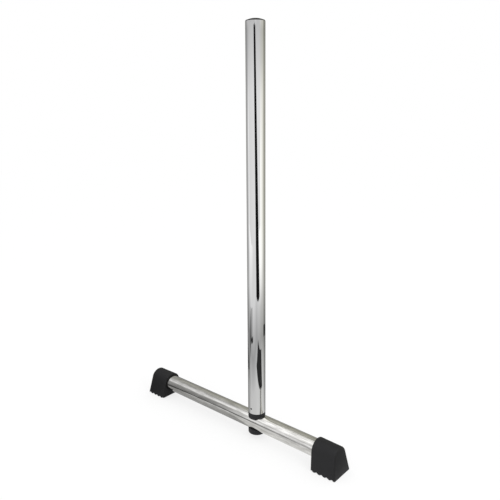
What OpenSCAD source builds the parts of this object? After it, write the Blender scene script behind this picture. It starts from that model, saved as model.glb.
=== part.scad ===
// Floor stand: one upright tube bolted down on a cross bar that stands on two moulded feet.
// Millimetres, +Z up. X runs along the cross bar and the origin is on the floor under its middle.

/* [Tubes] */
// Outside diameter of the upright and of the cross bar
tube_d = 38; // [34:0.5:44]
// Wall thickness of both tubes
tube_wall = 1.5; // [1:0.1:2.5]
// Length of the upright tube
upright_l = 800; // [300:10:1200]
// Length of the cross bar tube
bar_l = 540; // [400:10:800]
// Height of the cross bar's axis above the floor
bar_h = 35; // [33:0.5:45]
// Distance of the upright from the middle of the cross bar
upright_x = 60; // [0:5:120]

/* [Feet] */
// Length of a foot's sole along the bar
foot_l = 56; // [40:1:70]
// Width of a foot's sole across the bar
foot_w = 58; // [56:1:80]
// Rubber over the bar at a foot's mouth
foot_wall = 5; // [3:0.5:8]
// Extra radius over the bar of the arch at a foot's toe
toe_wall = 1; // [0.5:0.5:5]
// Sole beyond the end of the bar
toe_t = 10; // [9:0.5:20]
// How far the toe's face leans in at the top
toe_lean = 7.5; // [0:0.5:8]
// How far the mouth's face leans inboard at the top
mouth_lean = 4.5; // [0:0.5:8]
// Rounding round the toe's face
toe_edge_r = 3; // [1:0.5:5]
// Rounding round the mouth's face
mouth_edge_r = 1.5; // [0.5:0.5:3]
// Chamfer along the long edges of the sole
sole_edge = 1; // [0.5:0.25:2]
// Distance from one rib of the sole to the next
rib_pitch = 12; // [8:0.5:16]
// Depth of the grooves between the ribs
rib_depth = 2.2; // [1:0.1:3]
// Flat width of a rib's tip
rib_tip = 1.6; // [0.8:0.1:3]

/* [Saddles] */
// Thickness of the upper saddle between the bar's crown and the upright's end
upper_crown = 7; // [5:0.5:12]
// Thickness of the lower saddle under the bar
lower_crown = 5.5; // [4.5:0.5:9]
// How far the saddles' lobes reach round the bar from its crown
lobe_reach = 6.5; // [3:0.5:12]
// Rounding of the lobes' corners
lobe_r = 15; // [5:1:20]
// Rounding of the lower saddle's bottom edge
lower_edge_r = 1.5; // [0.5:0.25:3]
// Depth of the washer's recess in the lower saddle
recess_depth = 3; // [1:0.25:3.5]
// Length of the spigot inside the upright
spigot_l = 45; // [38:1:80]
// Radius of the spigot's core round the bolt
core_r = 10; // [9.5:0.25:12]
// Thickness of the spigot's webs
web_t = 2.5; // [1.5:0.25:4]
// Thickness of the spigot's rings
ring_t = 3; // [2:0.5:5]
// Height of the nut's seat above the end of the upright
nut_seat_up = 21; // [18:0.5:26]

/* [Top cap] */
// Height of the cap's lip
cap_lip_h = 1.8; // [1.5:0.1:6]
// Rise of the cap's dome above its lip
cap_dome_h = 3.7; // [1:0.1:5]
// Rounding of the cap's lip
cap_edge_r = 1.2; // [0.5:0.1:1.4]
// Length of the cap's plug inside the upright
plug_l = 20; // [14:1:40]
// Wall thickness of the cap's plug
plug_wall = 1.8; // [1.2:0.1:2.5]
// Height of a fin above the plug's skirt
fin_h = 0.9; // [0.5:0.1:1.5]
// Number of fins round the plug
fin_count = 4; // [2:1:6]

/* [Fasteners] */
// Diameter of the clamp bolt
bolt_d = 8; // [6:1:8]
// Diameter of the clamp bolt's button head
bolt_head_d = 14; // [11:0.5:15]
// Height of the clamp bolt's button head
bolt_head_h = 4.4; // [3.3:0.1:5]
// Width across flats of the clamp bolt's socket
bolt_socket = 5; // [4:0.5:5]
// Bolt thread that stands out of the nut
thread_out = 1.9; // [1:0.1:4]
// Diameter of the washer under the bolt's head
washer_d = 17; // [15.5:0.5:20]
// Thickness of the washer
washer_t = 1.6; // [1:0.1:2]
// Width across flats of the lock nut
nut_flats = 13; // [12:0.5:14]
// Height of the lock nut
nut_h = 8; // [7:0.5:9]
// Height of the nylon ring in the lock nut
nut_ring_h = 2.2; // [1.5:0.1:3]
// Outside diameter of the nylon ring
nut_ring_d = 10.4; // [9.5:0.1:10.8]
// Diameter of the lock screw
lock_d = 4; // [3:0.5:6]
// Length of the lock screw
lock_l = 10; // [6:0.5:12]
// Height of the lock screw above the end of the upright
lock_up = 11.5; // [8:0.5:14]
// How far the lock screw lies below the upright's surface
lock_sink = 0.4; // [0.2:0.1:1]

/* [Fits] */
// How far the saddles and the cap stand back from the upright's surface
flush_step = 0.25; // [0.2:0.05:0.5]
// Radial clearance between a tube and what is pressed into or over it
press_gap = 0.05; // [0.02:0.01:0.2]
// Clearance of the saddles round the bar
saddle_gap = 0.1; // [0.05:0.05:0.3]
// Radial clearance of the holes that the bolt passes
bolt_gap = 0.4; // [0.2:0.1:0.8]
// Clearance round the washer, and on each flat of the nut
pocket_gap = 0.15; // [0.1:0.05:0.4]
// Radial clearance of a thread in its mating hole
thread_gap = 0.05; // [0.02:0.01:0.1]

/* [Hidden] */
$fn = 96;

// Room that a cutting solid has past the face it cuts through
cut = 1;
tube_r = tube_d / 2;
tube_bore_r = tube_r - tube_wall;
flush_r = tube_r - flush_step;

// Heights on the upright's axis, from the floor up
bar_top = bar_h + tube_r;
bar_bottom = bar_h - tube_r;
lower_z = bar_bottom - lower_crown;
upright_z = bar_top + upper_crown;
upright_top = upright_z + upright_l;
nut_seat_z = upright_z + nut_seat_up;
bolt_seat_z = lower_z + recess_depth - washer_t;
bolt_l = nut_seat_z + nut_h + thread_out - bolt_seat_z;
lock_z = upright_z + lock_up;

// Feet
toe_x = bar_l / 2 + toe_t;
mouth_x = toe_x - foot_l;
foot_h = bar_top + foot_wall;
mouth_arch_r = tube_r + foot_wall;
toe_arch_r = tube_r + toe_wall;
arch_steps = 24;
edge_steps = 4;
groove_steps = 10;

BLACK_PLASTIC = [0.16, 0.16, 0.17];
BLACK_RUBBER = [0.13, 0.13, 0.13];
CHROME = [0.78, 0.78, 0.77];
SATIN_CHROME = [0.66, 0.66, 0.64];
ZINC = [0.62, 0.63, 0.66];
NYLON = [0.25, 0.35, 0.6];

function mix(a, b, f) = a + (b - a) * f;

// ---- tubes ----

// A round tube standing on the XY plane
module tube(length) {
    difference() {
        cylinder(r = tube_r, h = length);
        translate([0, 0, -cut]) cylinder(r = tube_bore_r, h = length + 2 * cut);
    }
}

// The solid volume of the cross bar, larger all round by a gap
module bar_space(gap, length) {
    translate([0, 0, bar_h]) rotate([0, 90, 0]) cylinder(r = tube_r + gap, h = length, center = true);
}

// A hole along the upright's axis
module axial_hole(r, z0, z1) {
    translate([upright_x, 0, z0]) cylinder(r = r, h = z1 - z0);
}

module cross_bar() {
    color(SATIN_CHROME) difference() {
        translate([-bar_l / 2, 0, bar_h]) rotate([0, 90, 0]) tube(bar_l);
        axial_hole(bolt_d / 2 + bolt_gap, bar_bottom - cut, bar_top + cut);
    }
}

module upright_tube() {
    color(CHROME) difference() {
        translate([upright_x, 0, upright_z]) tube(upright_l);
        lock_hole(lock_d / 2 + press_gap * 2);
    }
}

// ---- feet: a loft of arched sections from the mouth out to the toe ----

// Angle at which the side of a section meets its arch, seen from the arch's centre
function side_angle(half_w, arch_r, arch_z) =
    atan2(-arch_z, half_w) + acos(arch_r / norm([half_w, arch_z]));

// A section's outline in Y and Z: chamfered sole edge, straight side, arch and the other side
function foot_section(half_w, arch_r, arch_z) = let (
        a = side_angle(half_w, arch_r, arch_z),
        side_end = [arch_r * cos(a), arch_z + arch_r * sin(a)],
        up = (side_end - [half_w, 0]) / norm(side_end - [half_w, 0]),
        arch = [for (i = [0 : arch_steps]) let (t = mix(a, 180 - a, i / arch_steps))
            [arch_r * cos(t), arch_z + arch_r * sin(t)]])
    concat([[half_w - sole_edge, 0], [half_w, 0] + up * sole_edge], arch,
        [[-half_w - up.x * sole_edge, up.y * sole_edge], [sole_edge - half_w, 0]]);

// One ring of the loft, s from the mouth along the sole and pulled in all round by an inset
function foot_ring(s, inset) = let (
        f = s / foot_l,
        arch_r = mix(mouth_arch_r, toe_arch_r, f),
        lean = mix(mouth_lean, toe_lean, f) / foot_h)
    [for (p = foot_section(foot_w / 2 - inset, arch_r - inset, foot_h - arch_r))
        [mouth_x + s - lean * p.y, p.x, p.y]];

module foot_body() {
    mouth_edge = [for (i = [0 : edge_steps]) let (t = 90 * i / edge_steps)
        foot_ring(mouth_edge_r * (1 - cos(t)), mouth_edge_r * (1 - sin(t)))];
    toe_edge = [for (i = [edge_steps : -1 : 0]) let (t = 90 * i / edge_steps)
        foot_ring(foot_l - toe_edge_r * (1 - cos(t)), toe_edge_r * (1 - sin(t)))];
    rings = concat(mouth_edge, toe_edge);
    n = len(rings[0]);
    last = len(rings) - 1;
    sides = [for (k = [0 : last - 1], i = [0 : n - 1]) let (j = (i + 1) % n)
        each [[k * n + i, k * n + j, (k + 1) * n + j], [k * n + i, (k + 1) * n + j, (k + 1) * n + i]]];
    mouth_face = [for (i = [n - 1 : -1 : 0]) i];
    toe_face = [for (i = [0 : n - 1]) last * n + i];
    polyhedron(points = [for (ring = rings, p = ring) p],
        faces = concat([mouth_face], sides, [toe_face]), convexity = 4);
}

// The rounded groove between two ribs of the sole, centred on x
module sole_groove(x) {
    half = (rib_pitch - rib_tip) / 2;
    arc = [for (i = [0 : groove_steps]) let (u = 2 * i / groove_steps - 1)
        [x + half * u, rib_depth * (1 + cos(180 * u)) / 2]];
    rotate([90, 0, 0]) linear_extrude(foot_w + 2 * cut, center = true)
        polygon(concat([[x - half, -cut]], arc, [[x + half, -cut]]));
}

module foot() {
    bore_start = mouth_x - mouth_lean - cut;
    difference() {
        foot_body();
        translate([bore_start, 0, bar_h]) rotate([0, 90, 0])
            cylinder(r = tube_r + press_gap, h = bar_l / 2 + press_gap - bore_start);
        for (x = [toe_x - rib_pitch / 2 : -rib_pitch : mouth_x - rib_pitch / 2]) sole_groove(x);
    }
}

module right_foot() {
    color(BLACK_RUBBER) foot();
}

module left_foot() {
    color(BLACK_RUBBER) rotate([0, 0, 180]) foot();
}

// ---- saddles ----

// Front view of a saddle above the bar's axis: its lobes' rounded lower edge and its side
module lobe_outline(top) {
    flat_z = tube_r - lobe_reach;
    // Half of the lobe's flat edge, left between its two roundings
    flat = max(0, flat_z - lobe_r * tan(22.5));
    polygon([[-flat, flat_z], [flat, flat_z], [flat + lobe_r * sin(45), flat_z + lobe_r * (1 - cos(45))],
        [tube_r + cut, tube_r + cut], [tube_r + cut, top], [-tube_r - cut, top],
        [-tube_r - cut, tube_r + cut], [-flat - lobe_r * sin(45), flat_z + lobe_r * (1 - cos(45))]]);
    intersection() {
        for (side = [-1, 1]) translate([side * flat, flat_z + lobe_r]) circle(r = lobe_r);
        translate([-tube_r, 0]) square([tube_d, top]);
    }
}

// A saddle's round body, its flat end at the origin and the bar's axis a height below it
module saddle_block(height) {
    intersection() {
        translate([0, 0, -height]) cylinder(r = flush_r, h = height);
        rotate([90, 0, 0]) linear_extrude(tube_d, center = true)
            translate([0, -height]) lobe_outline(height);
    }
}

// The hole for the lock screw, on the front of the upright
module lock_hole(r) {
    translate([upright_x, 0, lock_z]) rotate([90, 0, 0])
        translate([0, 0, tube_r - lock_sink - lock_l]) cylinder(r = r, h = lock_l + lock_sink + cut);
}

// Core, webs and rings of the part that stands inside the upright
module spigot() {
    spigot_r = tube_bore_r - press_gap;
    ring_zs = [0, (spigot_l - ring_t) / 2, spigot_l - ring_t];
    cylinder(r = core_r, h = spigot_l);
    for (z = ring_zs) translate([0, 0, z]) cylinder(r = spigot_r, h = ring_t);
    intersection() {
        cylinder(r = spigot_r, h = spigot_l);
        union() {
            for (a = [0 : 60 : 120]) rotate([0, 0, a + 90])
                translate([-tube_r, -web_t / 2, 0]) cube([tube_d, web_t, spigot_l]);
            translate([0, 0, lock_up]) rotate([90, 0, 0]) cylinder(r = lock_d, h = tube_r);
        }
    }
}

module upper_saddle() {
    color(BLACK_PLASTIC) difference() {
        translate([upright_x, 0, upright_z]) {
            saddle_block(upright_z - bar_h);
            spigot();
        }
        bar_space(saddle_gap, bar_l);
        axial_hole(bolt_d / 2 + bolt_gap, bar_h, nut_seat_z + cut);
        translate([upright_x, 0, nut_seat_z])
            cylinder(r = (nut_flats / 2 + pocket_gap) / cos(30), h = spigot_l, $fn = 6);
        lock_hole(lock_d / 2 + thread_gap);
    }
}

// Rounded disc that closes the bottom of the lower saddle
module lower_edge() {
    arc = [for (i = [0 : edge_steps]) let (t = 90 * i / edge_steps)
        [flush_r - lower_edge_r * (1 - sin(t)), lower_edge_r * (1 - cos(t))]];
    rotate_extrude() polygon(concat([[0, 0]], arc, [[flush_r, bar_h], [0, bar_h]]));
}

module lower_saddle() {
    color(BLACK_PLASTIC) difference() {
        translate([upright_x, 0, lower_z]) intersection() {
            mirror([0, 0, 1]) saddle_block(bar_h - lower_z);
            lower_edge();
        }
        bar_space(saddle_gap, bar_l);
        axial_hole(bolt_d / 2 + bolt_gap, lower_z, bar_h);
        axial_hole(washer_d / 2 + pocket_gap, lower_z - cut, lower_z + recess_depth);
    }
}

// ---- top cap ----

module top_cap() {
    skirt_r = tube_bore_r - press_gap - fin_h;
    inner_r = skirt_r - plug_wall;
    // Radius of the dome's sphere, through its rim and its crown
    rim_r = flush_r - cap_edge_r;
    dome_r = (rim_r * rim_r + cap_dome_h * cap_dome_h) / (2 * cap_dome_h);
    dome = [for (i = [0 : edge_steps * 2]) let (a = asin(rim_r / dome_r) * i / (edge_steps * 2))
        [dome_r * sin(a), cap_lip_h + cap_dome_h - dome_r * (1 - cos(a))]];
    lip = [for (i = [1 : edge_steps]) let (t = 90 * i / edge_steps)
        [rim_r + cap_edge_r * sin(t), cap_lip_h - cap_edge_r * (1 - cos(t))]];
    // Plain end of the plug below its last fin
    lead = 2;
    fin_step = (plug_l - lead) / fin_count;
    fins = [for (k = [1 : fin_count]) let (z = -fin_step * k)
        each [[skirt_r, z + 2 * fin_h], [skirt_r + fin_h, z + fin_h], [skirt_r, z]]];
    color(BLACK_PLASTIC) translate([upright_x, 0, upright_top]) rotate_extrude()
        polygon(concat(dome, lip, [[flush_r, 0], [skirt_r, 0]], fins,
            [[skirt_r, -plug_l], [inner_r, -plug_l], [inner_r, 0], [0, 0]]));
}

// ---- fasteners ----

module clamp_bolt() {
    head_r = bolt_head_d / 2;
    socket_r = bolt_socket / 2 / cos(30);
    socket_depth = bolt_head_h * 0.6;
    // Radius of the flat round the socket, and height of the straight edge under the dome
    flat_r = socket_r + 0.6;
    edge_h = 0.8;
    // Chamfer at the thread's end
    point = bolt_d / 10;
    head = [for (i = [0 : edge_steps * 2]) let (t = 90 * i / (edge_steps * 2))
        [mix(flat_r, head_r, sin(t)), -mix(bolt_head_h, edge_h, 1 - cos(t))]];
    color(ZINC) translate([upright_x, 0, bolt_seat_z]) difference() {
        rotate_extrude() polygon(concat([[0, -bolt_head_h]], head, [[head_r, 0], [bolt_d / 2, 0],
            [bolt_d / 2, bolt_l - point], [bolt_d / 2 - point, bolt_l], [0, bolt_l]]));
        translate([0, 0, -bolt_head_h - cut]) cylinder(r = socket_r, h = socket_depth + cut, $fn = 6);
    }
}

module bolt_washer() {
    color(ZINC) difference() {
        axial_hole(washer_d / 2, bolt_seat_z, bolt_seat_z + washer_t);
        axial_hole(bolt_d / 2 + bolt_gap / 2, bolt_seat_z - cut, bolt_seat_z + washer_t + cut);
    }
}

module lock_nut() {
    // Height of the hexagon, below the round collar that holds the nylon ring
    hex_h = nut_h - 1.5;
    collar_r = nut_flats / 2 - 0.4;
    color(ZINC) translate([upright_x, 0, nut_seat_z]) difference() {
        union() {
            cylinder(r = nut_flats / 2 / cos(30), h = hex_h, $fn = 6);
            cylinder(r = collar_r, h = nut_h);
        }
        translate([0, 0, -cut]) cylinder(r = bolt_d / 2 + thread_gap, h = nut_h + 2 * cut);
        translate([0, 0, nut_h - nut_ring_h]) cylinder(r = nut_ring_d / 2 + thread_gap, h = nut_ring_h + cut);
    }
}

module lock_nut_ring() {
    ring_z = nut_seat_z + nut_h - nut_ring_h;
    color(NYLON) difference() {
        axial_hole(nut_ring_d / 2, ring_z, nut_seat_z + nut_h);
        axial_hole(bolt_d / 2 + thread_gap, ring_z - cut, nut_seat_z + nut_h + cut);
    }
}

module lock_screw() {
    socket_r = lock_d / 4 / cos(30);
    socket_depth = lock_d / 2;
    color(BLACK_RUBBER) translate([upright_x, 0, lock_z]) rotate([90, 0, 0])
        translate([0, 0, tube_r - lock_sink - lock_l]) difference() {
            cylinder(r = lock_d / 2, h = lock_l);
            translate([0, 0, lock_l - socket_depth]) cylinder(r = socket_r, h = socket_depth + cut, $fn = 6);
        }
}

cross_bar();
left_foot();
right_foot();
lower_saddle();
upper_saddle();
upright_tube();
top_cap();
clamp_bolt();
bolt_washer();
lock_nut();
lock_nut_ring();
lock_screw();
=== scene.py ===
"""Looks of the flag pole stand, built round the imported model."""

import math

import bpy
from mathutils import Matrix, Vector


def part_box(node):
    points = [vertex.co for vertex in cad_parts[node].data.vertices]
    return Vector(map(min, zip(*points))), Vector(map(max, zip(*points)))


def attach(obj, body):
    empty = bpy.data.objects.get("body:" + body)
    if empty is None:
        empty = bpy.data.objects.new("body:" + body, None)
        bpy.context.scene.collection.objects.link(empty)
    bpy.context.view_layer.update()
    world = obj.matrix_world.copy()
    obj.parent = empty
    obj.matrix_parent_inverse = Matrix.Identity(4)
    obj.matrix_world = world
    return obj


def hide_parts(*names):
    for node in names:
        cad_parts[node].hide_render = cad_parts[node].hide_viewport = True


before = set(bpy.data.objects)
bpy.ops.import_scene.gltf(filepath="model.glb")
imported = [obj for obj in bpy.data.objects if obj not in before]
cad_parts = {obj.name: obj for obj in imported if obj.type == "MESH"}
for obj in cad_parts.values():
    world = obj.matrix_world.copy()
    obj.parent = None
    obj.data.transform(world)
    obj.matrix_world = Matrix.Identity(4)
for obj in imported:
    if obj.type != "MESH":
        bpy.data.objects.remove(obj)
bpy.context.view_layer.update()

# ---- Cross bar ----
# A length of 38 mm steel tube lying along X, satin chrome plated over a lengthwise brushed
# surface. It carries the whole stand: the feet are pushed on its ends, and the bolt that holds
# the upright goes through it.

MM = 0.001

def linear(code):
    """An sRGB hex colour as linear RGBA."""
    parts = [int(code[i:i + 2], 16) / 255 for i in (1, 3, 5)]
    return [c / 12.92 if c <= 0.04045 else ((c + 0.055) / 1.055) ** 2.4 for c in parts] + [1]


def add(tree, kind, inputs=None, **settings):
    """Add a node. An input gets a plain value, or the socket that feeds it."""
    made = tree.nodes.new(kind)
    for name, value in settings.items():
        setattr(made, name, value)
    for name, value in (inputs or {}).items():
        if isinstance(value, bpy.types.NodeSocket):
            tree.links.new(value, made.inputs[name])
        else:
            made.inputs[name].default_value = value
    return made


def new_material(name):
    """An empty material and its node tree."""
    made = bpy.data.materials.new(name)
    made.use_nodes = True
    made.node_tree.nodes.clear()
    return made, made.node_tree


def finish_nodes(material, *names):
    """Give CAD nodes this material."""
    for name in names:
        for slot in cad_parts[name].material_slots:
            slot.material = material


# Satin chrome: a fine lengthwise grain under the plate. It smears a highlight round the tube
# and leaves thin lighter and darker lines along it, and the brushing dulls it in long patches.
SATIN_CHROME = "#d8d7d3"
SATIN_GRAIN_DARK = "#9b9a95"
grain_w, grain_l, grain_depth = 0.9 * MM, 160 * MM, 0.02 * MM
patch_w, patch_l = 4.5 * MM, 28 * MM
satin_chrome, tree = new_material("satin_chrome_plate")
place = add(tree, "ShaderNodeTexCoord")
grain_at = add(tree, "ShaderNodeMapping", {
    "Vector": place.outputs["Object"], "Scale": (1 / grain_l, 1 / grain_w, 1 / grain_w)})
grain = add(tree, "ShaderNodeTexNoise", {
    "Vector": grain_at.outputs[0], "Scale": 1.0, "Detail": 3.0, "Roughness": 0.6})
patch_at = add(tree, "ShaderNodeMapping", {
    "Vector": place.outputs["Object"], "Scale": (1 / patch_l, 1 / patch_w, 1 / patch_w)})
patches = add(tree, "ShaderNodeTexNoise", {
    "Vector": patch_at.outputs[0], "Scale": 1.0, "Detail": 5.0, "Roughness": 0.65})
lines = add(tree, "ShaderNodeMix", {
    0: 0.5, 2: grain.outputs["Fac"], 3: patches.outputs["Fac"]}, data_type="FLOAT")
shade = add(tree, "ShaderNodeMapRange", {
    "Value": lines.outputs[0], "From Min": 0.36, "From Max": 0.61})
tone = add(tree, "ShaderNodeMix", {
    0: shade.outputs[0], 6: linear(SATIN_GRAIN_DARK), 7: linear(SATIN_CHROME)}, data_type="RGBA")
gloss = add(tree, "ShaderNodeMapRange", {
    "Value": patches.outputs["Fac"], "From Min": 0.3, "From Max": 0.7,
    "To Min": 0.05, "To Max": 0.11})
relief = add(tree, "ShaderNodeBump", {
    "Height": grain.outputs["Fac"], "Strength": 0.3, "Distance": grain_depth})
metal = add(tree, "ShaderNodeBsdfPrincipled", {
    "Base Color": tone.outputs[2], "Metallic": 1.0, "Roughness": gloss.outputs[0],
    "Normal": relief.outputs[0]})
add(tree, "ShaderNodeOutputMaterial", {"Surface": metal.outputs[0]})
finish_nodes(satin_chrome, "cross_bar")

# ---- Feet ----
# Two like mouldings in matt black rubber, pushed over the bar's ends. A foot flares from an
# arched top to a flat wide sole with ribs across it, and both its end faces lean in.

scene = bpy.context.scene
bar_low, bar_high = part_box("cross_bar")
bar_r = (bar_high.z - bar_low.z) / 2
bar_h = (bar_high.z + bar_low.z) / 2
toe_x, _, foot_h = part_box("right_foot")[1]
sole_l = 56 * MM
sole_w = 58 * MM
mouth_x = toe_x - sole_l
mouth_arch_r = bar_r + 5 * MM
toe_arch_r = bar_r + 1 * MM
mouth_lean = 4.5 * MM
toe_lean = 7.5 * MM
mouth_edge_r = 1.5 * MM
toe_edge_r = 3 * MM
sole_edge = 0.4 * MM
rib_pitch = 12 * MM
rib_depth = 2.2 * MM
rib_tip = 1.6 * MM
push_gap = 0.05 * MM
bore_r = bar_r + push_gap
bore_lip = 0.5 * MM
# How many steps the mesh takes over half the sole, a side, the arch, a rounded edge and the length
sole_steps, side_steps, arch_steps, edge_steps, length_steps = 6, 8, 64, 6, 72
crease = math.radians(35)


def rib_height(x):
    """Height of the sole's underside between its ribs, rounded grooves counted from the toe."""
    half = (rib_pitch - rib_tip) / 2
    across = ((toe_x - x) % rib_pitch - rib_pitch / 2) / half
    return rib_depth * (1 + math.cos(math.pi * across)) / 2 if abs(across) < 1 else 0.0


def foot_section(along, inset):
    """A foot's section, so far along the sole from the mouth, pulled in all round by inset."""
    share = along / sole_l
    arch_r = mouth_arch_r + (toe_arch_r - mouth_arch_r) * share
    arch_z = foot_h - arch_r
    lean = (mouth_lean + (toe_lean - mouth_lean) * share) / foot_h
    half_w = sole_w / 2 - inset
    arch_r -= inset
    # The side runs straight up from the sole and touches the arch where its angle is start
    start = math.atan2(-arch_z, half_w) + math.acos(arch_r / math.hypot(half_w, arch_z))
    side_y, side_z = arch_r * math.cos(start), arch_z + arch_r * math.sin(start)
    ground = rib_height(mouth_x + along)
    slope = (side_y - half_w) / side_z
    half_sole = half_w + slope * ground
    right = [(half_sole * k / sole_steps - (sole_edge if k == sole_steps else 0), ground)
             for k in range(1, sole_steps + 1)]
    foot_z = ground + sole_edge
    right += [(half_w + slope * z, z) for z in
              (foot_z + (side_z - foot_z) * k / side_steps for k in range(side_steps))]
    arch = [(arch_r * math.cos(a), arch_z + arch_r * math.sin(a)) for a in
            (start + (math.pi - 2 * start) * k / arch_steps for k in range(arch_steps + 1))]
    left = [(-y, z) for y, z in reversed(right)]
    return [(mouth_x + along - lean * z, y, z) for y, z in [(0.0, ground), *right, *arch, *left]]


def foot_mesh(name, turned):
    """A foot: its loft, the mouth's face round the bore, the bore and its bottom."""
    rounding = [(1 - math.cos(t), 1 - math.sin(t)) for t in
                (math.pi / 2 * k / edge_steps for k in range(edge_steps + 1))]
    stations = [(mouth_edge_r * run, mouth_edge_r * inset) for run, inset in rounding]
    straight = sole_l - mouth_edge_r - toe_edge_r
    stations += [(mouth_edge_r + straight * k / length_steps, 0.0) for k in range(1, length_steps)]
    stations += [(sole_l - toe_edge_r * run, toe_edge_r * inset)
                 for run, inset in reversed(rounding)]
    sections = [foot_section(along, inset) for along, inset in stations]
    n = len(sections[0])
    verts = [point for section in sections for point in section]
    faces = [(k * n + i, k * n + (i + 1) % n, (k + 1) * n + (i + 1) % n, (k + 1) * n + i)
             for k in range(len(sections) - 1) for i in range(n)]
    faces.append([(len(sections) - 1) * n + i for i in range(n)])
    # The mouth: each outline point has its partner on the bore, at the same angle round the bar
    lean = mouth_lean / foot_h
    angles = [math.atan2(z - bar_h, y) for x, y, z in sections[0]]
    bore_end = bar_high.x + push_gap
    previous = list(range(n))
    for r, deep in ((bore_r + bore_lip, 0.0), (bore_r, bore_lip), (bore_r, None)):
        current = list(range(len(verts), len(verts) + n))
        for a in angles:
            y, z = r * math.cos(a), bar_h + r * math.sin(a)
            verts.append((bore_end if deep is None else mouth_x + deep - lean * z, y, z))
        faces += [(previous[(i + 1) % n], previous[i], current[i], current[(i + 1) % n])
                  for i in range(n)]
        previous = current
    faces.append(list(reversed(previous)))
    side = -1 if turned else 1
    mesh = bpy.data.meshes.new(name)
    mesh.from_pydata([(side * x, side * y, z) for x, y, z in verts], [], faces)
    mesh.validate()
    mesh.shade_smooth()
    mesh.set_sharp_from_angle(angle=crease)
    return mesh


# Moulded rubber: a fine spark-eroded grain breaks up what little gloss it has, and the sole's
# lowest edge is scuffed a little lighter.
RUBBER = "#1c1c1d"
RUBBER_WORN = "#2a2a2a"
rubber_grain, rubber_grain_depth = 0.7 * MM, 0.08 * MM
rubber_cloud = 14 * MM
scuff_h = 4 * MM
foot_rubber, tree = new_material("moulded_black_rubber")
place = add(tree, "ShaderNodeTexCoord")
grain = add(tree, "ShaderNodeTexNoise", {
    "Vector": place.outputs["Object"], "Scale": 1 / rubber_grain, "Detail": 2.0})
cloud = add(tree, "ShaderNodeTexNoise", {
    "Vector": place.outputs["Object"], "Scale": 1 / rubber_cloud, "Detail": 3.0})
height = add(tree, "ShaderNodeSeparateXYZ", {0: place.outputs["Object"]})
scuff = add(tree, "ShaderNodeMapRange", {
    "Value": height.outputs["Z"], "From Min": 0.0, "From Max": scuff_h,
    "To Min": 1.0, "To Max": 0.0})
worn = add(tree, "ShaderNodeMath", {
    0: scuff.outputs[0], 1: cloud.outputs["Fac"]}, operation="MULTIPLY")
tone = add(tree, "ShaderNodeMix", {
    0: worn.outputs[0], 6: linear(RUBBER), 7: linear(RUBBER_WORN)}, data_type="RGBA")
gloss = add(tree, "ShaderNodeMapRange", {
    "Value": cloud.outputs["Fac"], "To Min": 0.55, "To Max": 0.7})
relief = add(tree, "ShaderNodeBump", {
    "Height": grain.outputs["Fac"], "Strength": 0.4, "Distance": rubber_grain_depth})
skin = add(tree, "ShaderNodeBsdfPrincipled", {
    "Base Color": tone.outputs[2], "Roughness": gloss.outputs[0], "Specular IOR Level": 0.2,
    "Normal": relief.outputs[0]})
add(tree, "ShaderNodeOutputMaterial", {"Surface": skin.outputs[0]})

for name, turned in (("right_foot", False), ("left_foot", True)):
    foot = bpy.data.objects.new(name + "_moulding", foot_mesh(name + "_moulding", turned))
    scene.collection.objects.link(foot)
    foot.data.materials.append(foot_rubber)
    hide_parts(name)
    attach(foot, "root")

# ---- Saddles ----
# The upper and lower saddles are moulded in black polypropylene. Their lobes grip the bar from
# above and below, and the upper one goes on as a spigot inside the upright.

SADDLE_BLACK = "#1c1c1e"
plastic_grain, plastic_grain_depth = 0.5 * MM, 0.05 * MM
plastic_cloud = 9 * MM
saddle_plastic, tree = new_material("moulded_black_polypropylene")
place = add(tree, "ShaderNodeTexCoord")
grain = add(tree, "ShaderNodeTexNoise", {
    "Vector": place.outputs["Object"], "Scale": 1 / plastic_grain, "Detail": 2.0})
cloud = add(tree, "ShaderNodeTexNoise", {
    "Vector": place.outputs["Object"], "Scale": 1 / plastic_cloud, "Detail": 2.0})
gloss = add(tree, "ShaderNodeMapRange", {
    "Value": cloud.outputs["Fac"], "To Min": 0.42, "To Max": 0.55})
relief = add(tree, "ShaderNodeBump", {
    "Height": grain.outputs["Fac"], "Strength": 0.3, "Distance": plastic_grain_depth})
skin = add(tree, "ShaderNodeBsdfPrincipled", {
    "Base Color": linear(SADDLE_BLACK), "Roughness": gloss.outputs[0], "Specular IOR Level": 0.2,
    "Normal": relief.outputs[0]})
add(tree, "ShaderNodeOutputMaterial", {"Surface": skin.outputs[0]})
finish_nodes(saddle_plastic, "lower_saddle", "upper_saddle")

# ---- Clamp bolt, washer and lock nut ----
# An M8 button-head bolt goes up through both saddles and the bar into a lock nut in the
# spigot's pocket. All are cold-formed steel with bright zinc plate.

ZINC = "#a9b0b8"
zinc_cloud = 2.5 * MM
zinc_steel, tree = new_material("bright_zinc_plated_steel")
place = add(tree, "ShaderNodeTexCoord")
cloud = add(tree, "ShaderNodeTexNoise", {
    "Vector": place.outputs["Object"], "Scale": 1 / zinc_cloud, "Detail": 3.0})
gloss = add(tree, "ShaderNodeMapRange", {
    "Value": cloud.outputs["Fac"], "To Min": 0.25, "To Max": 0.45})
metal = add(tree, "ShaderNodeBsdfPrincipled", {
    "Base Color": linear(ZINC), "Metallic": 1.0, "Roughness": gloss.outputs[0]})
add(tree, "ShaderNodeOutputMaterial", {"Surface": metal.outputs[0]})
finish_nodes(zinc_steel, "clamp_bolt", "bolt_washer", "lock_nut")

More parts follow.
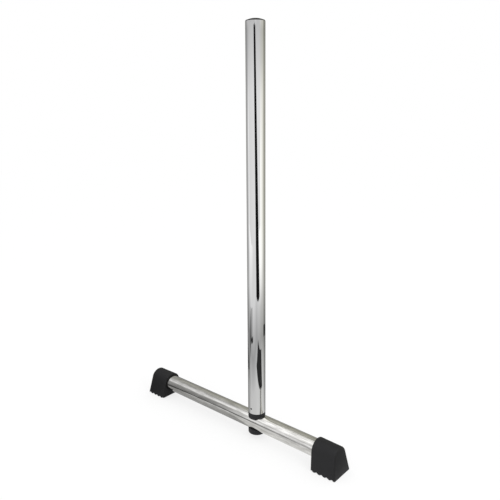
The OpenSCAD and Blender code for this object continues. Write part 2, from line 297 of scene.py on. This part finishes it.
# The lock nut's ring is nylon, pressed in at its top, where the bolt's thread bites into it.
NYLON = "#3c5f9c"
nylon_cloud = 1.5 * MM
nylon, tree = new_material("moulded_nylon")
place = add(tree, "ShaderNodeTexCoord")
cloud = add(tree, "ShaderNodeTexNoise", {
    "Vector": place.outputs["Object"], "Scale": 1 / nylon_cloud, "Detail": 2.0})
gloss = add(tree, "ShaderNodeMapRange", {
    "Value": cloud.outputs["Fac"], "To Min": 0.35, "To Max": 0.5})
skin = add(tree, "ShaderNodeBsdfPrincipled", {
    "Base Color": linear(NYLON), "Roughness": gloss.outputs[0]})
add(tree, "ShaderNodeOutputMaterial", {"Surface": skin.outputs[0]})
finish_nodes(nylon, "lock_nut_ring")

# ---- Upright ----
# The same 38 mm steel tube, polished and bright chrome plated, standing on the upper saddle.
# Its mirror shows the room as lengthwise bands.

BRIGHT_CHROME = "#c6c6c4"
draw_w, draw_l, draw_depth = 2.2 * MM, 500 * MM, 0.0015 * MM
haze_size = 45 * MM
bright_chrome, tree = new_material("bright_chrome_plate")
place = add(tree, "ShaderNodeTexCoord")
draw_at = add(tree, "ShaderNodeMapping", {
    "Vector": place.outputs["Object"], "Scale": (1 / draw_w, 1 / draw_w, 1 / draw_l)})
draw = add(tree, "ShaderNodeTexNoise", {
    "Vector": draw_at.outputs[0], "Scale": 1.0, "Detail": 2.0})
haze = add(tree, "ShaderNodeTexNoise", {
    "Vector": place.outputs["Object"], "Scale": 1 / haze_size, "Detail": 4.0})
gloss = add(tree, "ShaderNodeMapRange", {
    "Value": haze.outputs["Fac"], "From Min": 0.3, "From Max": 0.7,
    "To Min": 0.02, "To Max": 0.05})
relief = add(tree, "ShaderNodeBump", {
    "Height": draw.outputs["Fac"], "Strength": 0.3, "Distance": draw_depth})
metal = add(tree, "ShaderNodeBsdfPrincipled", {
    "Base Color": linear(BRIGHT_CHROME), "Metallic": 1.0, "Roughness": gloss.outputs[0],
    "Normal": relief.outputs[0]})
add(tree, "ShaderNodeOutputMaterial", {"Surface": metal.outputs[0]})
finish_nodes(bright_chrome, "upright_tube")

# ---- Lock screw ----
# A short socket screw, black oxide on steel, driven through the tube's wall into the spigot so
# that the upright can't turn or lift.

BLACK_OXIDE = "#080808"
oxide_cloud = 0.8 * MM
black_oxide, tree = new_material("black_oxide_steel")
place = add(tree, "ShaderNodeTexCoord")
cloud = add(tree, "ShaderNodeTexNoise", {
    "Vector": place.outputs["Object"], "Scale": 1 / oxide_cloud, "Detail": 2.0})
gloss = add(tree, "ShaderNodeMapRange", {
    "Value": cloud.outputs["Fac"], "To Min": 0.4, "To Max": 0.6})
skin = add(tree, "ShaderNodeBsdfPrincipled", {
    "Base Color": linear(BLACK_OXIDE), "Roughness": gloss.outputs[0],
    "Specular IOR Level": 0.1})
add(tree, "ShaderNodeOutputMaterial", {"Surface": skin.outputs[0]})
finish_nodes(black_oxide, "lock_screw")

# ---- Top cap ----
# A black polyethylene plug pressed into the upright's open end. Its fins grip inside, and only
# the low dome and its lip show.

CAP_BLACK = "#080809"
cap_cloud = 6 * MM
cap_plastic, tree = new_material("moulded_black_polyethylene")
place = add(tree, "ShaderNodeTexCoord")
cloud = add(tree, "ShaderNodeTexNoise", {
    "Vector": place.outputs["Object"], "Scale": 1 / cap_cloud, "Detail": 3.0})
gloss = add(tree, "ShaderNodeMapRange", {
    "Value": cloud.outputs["Fac"], "To Min": 0.35, "To Max": 0.5})
skin = add(tree, "ShaderNodeBsdfPrincipled", {
    "Base Color": linear(CAP_BLACK), "Roughness": gloss.outputs[0], "Specular IOR Level": 0.1})
add(tree, "ShaderNodeOutputMaterial", {"Surface": skin.outputs[0]})
finish_nodes(cap_plastic, "top_cap")

# ---- Floor and studio ----
# A plain white floor that keeps the stand's shadow, and the plain studio that the chrome
# mirrors: a pale room with softboxes and dark cards. Only mirror rays see the studio, so it
# casts neither light nor shadow on the stand.

FLOOR = "#ffffff"
floor_glow = 0.75
floor_r = 6.0
floor_drop = 0.1 * MM
floor_white, tree = new_material("white_paper")
ray = add(tree, "ShaderNodeLightPath")
seen = add(tree, "ShaderNodeMath", {
    0: ray.outputs["Is Camera Ray"], 1: ray.outputs["Is Glossy Ray"]}, operation="MAXIMUM")
share = add(tree, "ShaderNodeMath", {0: seen.outputs[0], 1: floor_glow}, operation="MULTIPLY")
paper = add(tree, "ShaderNodeBsdfDiffuse", {"Color": linear(FLOOR)})
white = add(tree, "ShaderNodeEmission", {"Color": linear(FLOOR), "Strength": 1.0})
both = add(tree, "ShaderNodeMixShader", {
    0: share.outputs[0], 1: paper.outputs[0], 2: white.outputs[0]})
add(tree, "ShaderNodeOutputMaterial", {"Surface": both.outputs[0]})
mesh = bpy.data.meshes.new("floor")
mesh.from_pydata([(x * floor_r, y * floor_r, -floor_drop) for x, y in
                  ((-1, -1), (1, -1), (1, 1), (-1, 1))], [], [(0, 1, 2, 3)])
floor = bpy.data.objects.new("floor", mesh)
scene.collection.objects.link(floor)
floor.data.materials.append(floor_white)

# The studio is a set of glowing panels. Each point of a panel has its own brightness, and a
# see-through value where the panel fades out. The light is cool in front and warm at the back.
STUDIO_COOL = "#fcfcff"
STUDIO_WARM = "#faf9ed"
cool_y, warm_y = -0.4, 2.2
studio_light, tree = new_material("studio_light")
tone = add(tree, "ShaderNodeAttribute", attribute_name="brightness")
fade = add(tree, "ShaderNodeAttribute", attribute_name="see_through")
place = add(tree, "ShaderNodeTexCoord")
along = add(tree, "ShaderNodeSeparateXYZ", {0: place.outputs["Object"]})
back = add(tree, "ShaderNodeMapRange", {
    "Value": along.outputs["Y"], "From Min": cool_y, "From Max": warm_y})
tint = add(tree, "ShaderNodeMix", {
    0: back.outputs[0], 6: linear(STUDIO_COOL), 7: linear(STUDIO_WARM)}, data_type="RGBA")
glow = add(tree, "ShaderNodeEmission", {
    "Color": tint.outputs[2], "Strength": tone.outputs["Fac"]})
clear = add(tree, "ShaderNodeBsdfTransparent")
both = add(tree, "ShaderNodeMixShader", {
    0: fade.outputs["Fac"], 1: glow.outputs[0], 2: clear.outputs[0]})
add(tree, "ShaderNodeOutputMaterial", {"Surface": both.outputs[0]})


def panel(name, rows, tones, see_through=None):
    """A studio panel from rows of points, that only mirror rays see."""
    wide = len(rows[0])
    made = bpy.data.meshes.new(name)
    made.from_pydata([p for row in rows for p in row], [],
                     [(k * wide + i, k * wide + i + 1, (k + 1) * wide + i + 1, (k + 1) * wide + i)
                      for k in range(len(rows) - 1) for i in range(wide - 1)])
    for attribute, values in (("brightness", tones), ("see_through", see_through)):
        if values is not None:
            made.attributes.new(attribute, "FLOAT", "POINT").data.foreach_set(
                "value", [v for row in values for v in row])
    made.materials.append(studio_light)
    thing = bpy.data.objects.new(name, made)
    scene.collection.objects.link(thing)
    for ray_kind in ("camera", "diffuse", "transmission", "volume_scatter", "shadow"):
        setattr(thing, "visible_" + ray_kind, False)


def plain_panel(name, rows, tone):
    """A panel of one brightness."""
    panel(name, rows, [[tone] * len(row) for row in rows])


upright_low, upright_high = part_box("upright_tube")
upright_x = (upright_low.x + upright_high.x) / 2
front = -50


def about_upright(away, round_by, z):
    """A point of the studio, by its distance from the upright and its direction, in degrees
    round from the studio's front."""
    a = math.radians(front + round_by)
    return (upright_x + away * math.cos(a), away * math.sin(a), z)


# The room, as rings about the upright: radius and height in metres, and its light. The white
# paper's light falls off towards its edge, the floor beyond rises to pale walls, and a light
# ceiling closes it. It is dim behind the stand.
on_floor, card_z = 0.5 * MM, 1 * MM
rings = ((0.02, on_floor, 1.1), (0.3, on_floor, 1.0), (0.6, on_floor, 0.6), (1.2, on_floor, 1.2),
         (2.6, on_floor, 1.3), (2.6, 0.8, 1.3), (2.6, 1.2, 0.9), (2.6, 1.4, 1.5), (2.6, 3.2, 1.8),
         (0.1, 3.6, 0.6))
sides = ((-180, 0.4), (-130, 0.4), (-90, 0.9), (0, 1.0), (60, 1.0), (90, 0.9), (120, 0.4),
         (180, 0.4))
panel("room", [[about_upright(r, a, z) for a, share in sides] for r, z, light in rings],
      [[light * share for a, share in sides] for r, z, light in rings])

# Two softboxes that fade out at their edges: a low one on the right, which also lights the floor
# before it, and a taller one on the left
box_sides = (20, 35, 65, 90)
panel("right_softbox", [[about_upright(r, a, z) for a in box_sides] for r, z in (
    (0.9, card_z), (1.5, card_z), (2.5, card_z), (2.5, 0.4), (2.5, 1.0))],
      [[1.8] * 4] * 5, [(1,) * 4, (1, 0, 0, 1), (1, 0, 0, 1), (1, 0, 0, 1), (1,) * 4])
box_sides = (-110, -85, -60, -30)
panel("left_softbox", [[about_upright(r, a, z) for a in box_sides] for r, z in (
    (0.8, card_z), (2.5, card_z), (2.5, 0.6), (2.5, 1.2))],
      [[1.8] * 4] * 4, [(1,) * 4, (1, 0, 0, 1), (1, 0, 0, 1), (1,) * 4])

# A low dark curb round the left of the paper, and the dark gaps at the paper's edge
curb_sides = (-180, -75, -45)
panel("curb", [[about_upright(0.6, a, z) for a in curb_sides] for z in (0.0, 0.1)],
      [(0.1, 0.1, 0.8), (0.4, 0.4, 1.0)])
plain_panel("curb_gap", [[about_upright(r, a, card_z) for a in curb_sides] for r in (0.55, 0.6)],
            0.05)
plain_panel("far_gap", [[about_upright(r, a, card_z) for a in (90, 120, 150)] for r in (0.6, 0.7)],
            0.05)

# A softbox hung over the front, which the bar's upper side shows, and a grey card by the far
# half of the bar that keeps it dull
panel("softbox", [[(x, y, 2.0) for x in (-1.3, 0.4, 0.9, 2.2)] for y in (-3.0, -1.2, -0.4, 0.5)],
      [[light, light, 3.0, 3.0] for light in (2.0, 2.0, 1.6, 1.4)])
panel("grey_card", [[(x, -0.10, z) for x in (-0.5, -0.15, 0.0)] for z in (0.035, 0.12, 0.17)],
      [[0.3] * 3, [0.5] * 3, [0.5] * 3], [(0, 0, 1), (0, 0, 1), (1, 1, 1)])

# Two plain dark cards of four corners: a tall one beside the camera, narrower at its top, which
# the upright shows as its one dark streak, and an oblong one lying on the floor
plain_panel("tall_card", [[about_upright(1.0, a, z) for a in edges] for z, edges in (
    (0.0, (0, 40)), (1.0, (-20, 0)))], 0.01)
plain_panel("flat_card", [[(x, y, card_z) for x in (0.3, 0.55)] for y in (-0.3, 0.1)], 0.04)

# The sky: even white light on everything, and plain white behind the stand
SKY = "#ffffff"
sky = bpy.data.worlds.new("sky")
sky.use_nodes = True
tree = sky.node_tree
tree.nodes.clear()
even = add(tree, "ShaderNodeBackground", {"Color": linear(SKY), "Strength": 1.0})
add(tree, "ShaderNodeOutputWorld", {"Surface": even.outputs[0]})
scene.world = sky

# One soft lamp from the toe's side gives the black mouldings their form
lamp_at = Vector((2.0, -0.3, 1.2))
lamp_aim = Vector((0.1, 0, 0.1))
lamp = bpy.data.lights.new("side_softbox", "AREA")
lamp.shape = "RECTANGLE"
lamp.size = lamp.size_y = 1.2
lamp.energy = 9
side_lamp = bpy.data.objects.new("side_softbox", lamp)
side_lamp.location = lamp_at
side_lamp.rotation_euler = (lamp_aim - lamp_at).to_track_quat("-Z", "Y").to_euler()
side_lamp.visible_glossy = False
scene.collection.objects.link(side_lamp)

# ---- Camera ----
# Level with the upper part of the upright, beyond the near foot and looking down at the bar.

camera_at = Vector((0.7668, -0.8336, 0.6918))
look_azimuth, look_down, roll = 40.9601, 13.7614, -0.3902
lens = bpy.data.cameras.new("camera")
lens.lens = 39.63
lens.sensor_width = 36
camera = bpy.data.objects.new("camera", lens)
turned = Matrix.Rotation(math.radians(look_azimuth), 4, "Z") @ Matrix.Rotation(
    math.radians(90 - look_down), 4, "X") @ Matrix.Rotation(math.radians(roll), 4, "Z")
camera.matrix_world = Matrix.Translation(camera_at) @ turned
scene.collection.objects.link(camera)
scene.camera = camera
scene.view_settings.view_transform = "Standard"
